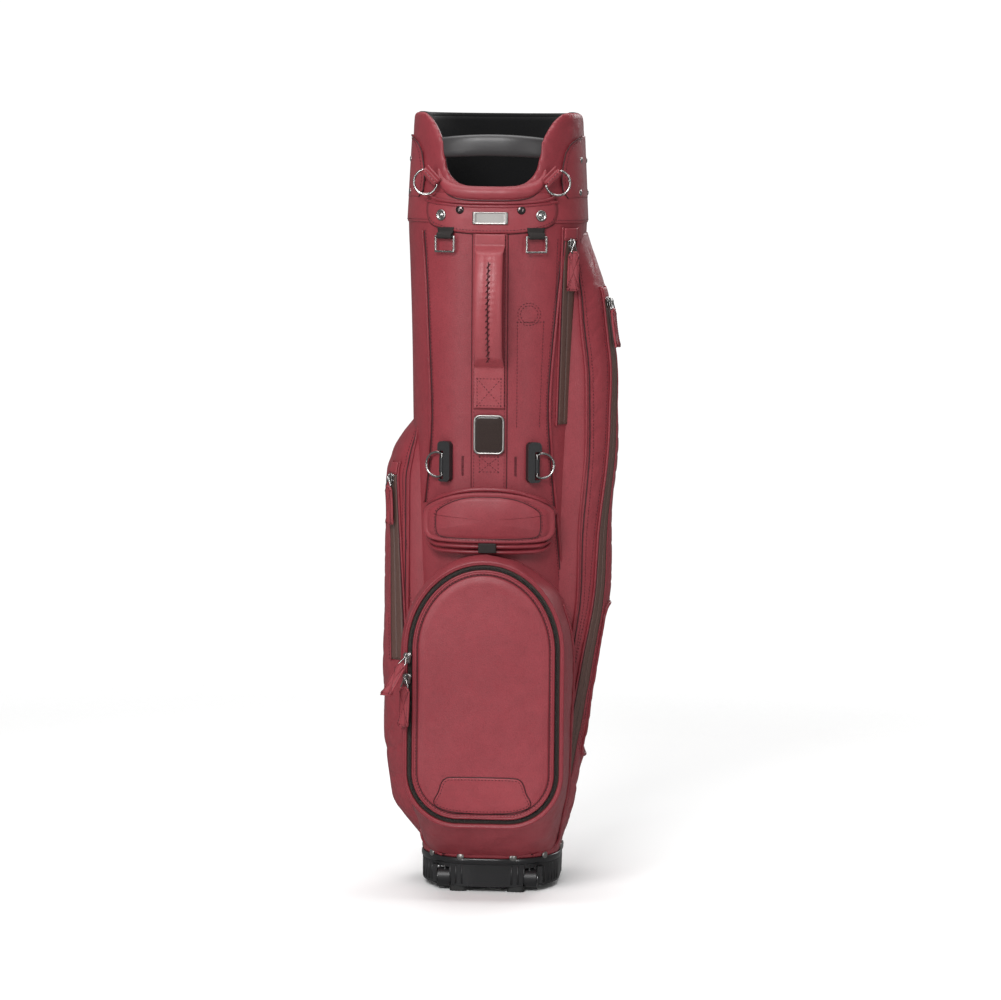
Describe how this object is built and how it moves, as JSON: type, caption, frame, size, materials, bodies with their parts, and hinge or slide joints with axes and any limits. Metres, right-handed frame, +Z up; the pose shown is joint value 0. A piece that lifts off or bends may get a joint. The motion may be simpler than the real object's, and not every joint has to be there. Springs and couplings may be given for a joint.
{
  "type": "golf bag",
  "caption": "Leather golf stand bag with divided top, padded collar, ball and apparel pockets, strap rings and folding legs",
  "frame": {"origin": "on the ground under the middle of the base", "axes": "+Z up, -Y towards the carry handle and ball pocket, +X to the right seen from there"},
  "size_m": [0.2747, 0.3562, 0.892],
  "materials": {
    "leather": "pebbled leather, soft satin sheen",
    "collar_leather": "pebbled leather rolled over foam",
    "frame_plastic": "moulded, satin",
    "fleece": "short dense pile",
    "lining": "woven nylon",
    "black_plastic": "moulded, light texture",
    "rubber": "matt moulded rubber",
    "bright_metal": "polished plated metal",
    "steel": "plain drawn steel",
    "leg_tube": "satin black",
    "webbing": "woven polyester",
    "badge_enamel": "dark gloss enamel",
    "zip_tape": "coated woven tape",
    "back_mesh": "spacer mesh over foam"
  },
  "bodies": {
    "bag": {"base_tub": "black_plastic", "base_rivets": "bright_metal", "rubber_feet": "rubber", "floor_pad": "lining", "lever_pins": "steel", "leg_bracket": "black_plastic", "leg_pivots": "steel", "body_shell": "leather", "frame_stays": "frame_plastic", "spine_strip": "leather", "divider_panels": "lining", "collar_frame": "frame_plastic", "collar_roll": "collar_leather", "outer_band": "leather", "shield_panel": "leather", "divider_grid": "fleece", "lift_handle": "black_plastic", "band_rivets": "bright_metal", "snap_studs": "bright_metal", "name_plate": "bright_metal", "ring_loops": "leather", "tow_loops": "webbing", "strap_anchors": "black_plastic", "carry_handle": "leather", "badge_frame": "bright_metal", "badge_plate": "badge_enamel", "left_pocket": "leather", "right_pocket": "leather", "flap_pocket": "leather", "ball_pocket": "leather", "back_pad": "back_mesh", "zip_tapes": "zip_tape"},
    "foot_lever": {"foot_lever": "black_plastic"},
    "stand_wires": {"stand_wires": "steel"},
    "leg_left": {"leg_left_tube": "leg_tube", "leg_left_hinge": "black_plastic", "leg_left_foot": "rubber"},
    "leg_right": {"leg_right_tube": "leg_tube", "leg_right_hinge": "black_plastic", "leg_right_foot": "rubber"},
    "collar_ring_left": {"collar_ring_left": "bright_metal"},
    "collar_ring_right": {"collar_ring_right": "bright_metal"},
    "tow_ring_left": {"tow_ring_left": "bright_metal"},
    "tow_ring_right": {"tow_ring_right": "bright_metal"},
    "strap_ring_left": {"strap_ring_left": "bright_metal"},
    "strap_ring_right": {"strap_ring_right": "bright_metal"},
    "pocket_flap": {"pocket_flap": "leather", "flap_tab": "black_plastic"},
    "ball_door": {"ball_door": "leather"},
    "right_zip_slider": {"right_zip_slider": "bright_metal"},
    "right_zip_pull": {"right_zip_pull": "leather"},
    "left_zip_slider": {"left_zip_slider": "bright_metal"},
    "left_zip_pull": {"left_zip_pull": "leather"},
    "upper_zip_slider": {"upper_zip_slider": "bright_metal"},
    "upper_zip_pull": {"upper_zip_pull": "leather"},
    "ball_zip_upper_slider": {"ball_zip_upper_slider": "bright_metal"},
    "ball_zip_upper_pull": {"ball_zip_upper_pull": "leather"},
    "ball_zip_lower_slider": {"ball_zip_lower_slider": "bright_metal"},
    "ball_zip_lower_pull": {"ball_zip_lower_pull": "leather"}
  },
  "joints": [
    {"name": "foot_lever_hinge", "type": "hinge", "parent": "bag", "child": "foot_lever", "pos_m": [0, -0.07561, 0.0145], "axis": [1, 0, 0], "range_deg": [0, 5]},
    {"name": "stand_wire_slide", "type": "slide", "parent": "bag", "child": "stand_wires", "axis": [0, 0.0284, 0.9996], "range_m": [0, 0.01586]},
    {"name": "leg_left_swing", "type": "hinge", "parent": "bag", "child": "leg_left", "pos_m": [-0.06866, 0.10867, 0.726], "axis": [0.9397, 0.342, 0.0092], "range_deg": [0, 35], "stiffness_Nm_per_rad": 0.25, "springref_deg": -17.19},
    {"name": "leg_right_swing", "type": "hinge", "parent": "bag", "child": "leg_right", "pos_m": [0.06866, 0.10867, 0.726], "axis": [0.9397, -0.342, -0.0092], "range_deg": [0, 35], "stiffness_Nm_per_rad": 0.25, "springref_deg": -17.19},
    {"name": "collar_ring_left_hinge", "type": "hinge", "parent": "bag", "child": "collar_ring_left", "pos_m": [-0.07, -0.1035, 0.817], "axis": [-0.683, 0.183, 0.7071], "range_deg": [0, 110]},
    {"name": "tow_ring_left_hinge", "type": "hinge", "parent": "bag", "child": "tow_ring_left", "pos_m": [-0.052, -0.10982, 0.751], "axis": [-0.8946, 0.4468, 0], "range_deg": [0, 90]},
    {"name": "strap_ring_left_hinge", "type": "hinge", "parent": "bag", "child": "strap_ring_left", "pos_m": [-0.05398, -0.1, 0.492], "axis": [0, 0, 1], "range_deg": [0, 85]},
    {"name": "collar_ring_right_hinge", "type": "hinge", "parent": "bag", "child": "collar_ring_right", "pos_m": [0.07, -0.1035, 0.817], "axis": [-0.683, -0.183, -0.7071], "range_deg": [0, 110]},
    {"name": "tow_ring_right_hinge", "type": "hinge", "parent": "bag", "child": "tow_ring_right", "pos_m": [0.052, -0.10982, 0.751], "axis": [-0.8946, -0.4468, 0], "range_deg": [0, 90]},
    {"name": "strap_ring_right_hinge", "type": "hinge", "parent": "bag", "child": "strap_ring_right", "pos_m": [0.05398, -0.1, 0.492], "axis": [0, 0, -1], "range_deg": [0, 85]},
    {"name": "pocket_flap_hinge", "type": "hinge", "parent": "bag", "child": "pocket_flap", "pos_m": [0, -0.12401, 0.453], "axis": [-1, 0, 0], "range_deg": [0, 110]},
    {"name": "ball_door_hinge", "type": "hinge", "parent": "bag", "child": "ball_door", "pos_m": [0, -0.1595, 0.096], "axis": [1, 0, 0], "range_deg": [0, 75]},
    {"name": "right_zip_slide", "type": "slide", "parent": "bag", "child": "right_zip_slider", "axis": [0.142, -0.0488, -0.9887], "range_m": [0, 0.0647]},
    {"name": "right_zip_pull_hinge", "type": "hinge", "parent": "right_zip_slider", "child": "right_zip_pull", "pos_m": [0.13383, -0.02465, 0.6769], "axis": [-0.2822, -0.9593, 0.0068], "range_deg": [0, 100]},
    {"name": "left_zip_slide", "type": "slide", "parent": "bag", "child": "left_zip_slider", "axis": [0.0326, -0.0481, -0.9983], "range_m": [0, 0.1903]},
    {"name": "left_zip_pull_hinge", "type": "hinge", "parent": "left_zip_slider", "child": "left_zip_pull", "pos_m": [-0.12104, -0.04733, 0.47102], "axis": [-0.6025, 0.796, -0.058], "range_deg": [0, 100]},
    {"name": "upper_zip_slide", "type": "slide", "parent": "bag", "child": "upper_zip_slider", "axis": [-0.0246, 0.0161, -0.9996], "range_m": [0, 0.1991]},
    {"name": "upper_zip_pull_hinge", "type": "hinge", "parent": "upper_zip_slider", "child": "upper_zip_pull", "pos_m": [0.09254, -0.07765, 0.74282], "axis": [-0.5446, -0.8387, -0.0001], "range_deg": [0, 100]},
    {"name": "ball_zip_upper_slide", "type": "slide", "parent": "bag", "child": "ball_zip_upper_slider", "axis": [0, 0, -1], "range_m": [0, 0.08]},
    {"name": "ball_zip_upper_pull_hinge", "type": "hinge", "parent": "ball_zip_upper_slider", "child": "ball_zip_upper_pull", "pos_m": [-0.088, -0.1657, 0.278], "axis": [-0.866, 0.5, 0], "range_deg": [-12, 60]},
    {"name": "ball_zip_lower_slide", "type": "slide", "parent": "bag", "child": "ball_zip_lower_slider", "axis": [0, 0, -1], "range_m": [0, 0.08]},
    {"name": "ball_zip_lower_pull_hinge", "type": "hinge", "parent": "ball_zip_lower_slider", "child": "ball_zip_lower_pull", "pos_m": [-0.088, -0.1657, 0.254], "axis": [-0.866, 0.5, 0], "range_deg": [-3.6, 40]}
  ],
  "couplings": [
    {"joint": "stand_wire_slide", "follows": "foot_lever_hinge", "m_per_rad": 0.18147},
    {"joint": "leg_left_swing", "follows": "foot_lever_hinge", "ratio": 7},
    {"joint": "leg_right_swing", "follows": "foot_lever_hinge", "ratio": 7},
    {"joint": "ball_zip_upper_slide", "follows": "ball_zip_lower_slide", "ratio": 1}
  ]
}
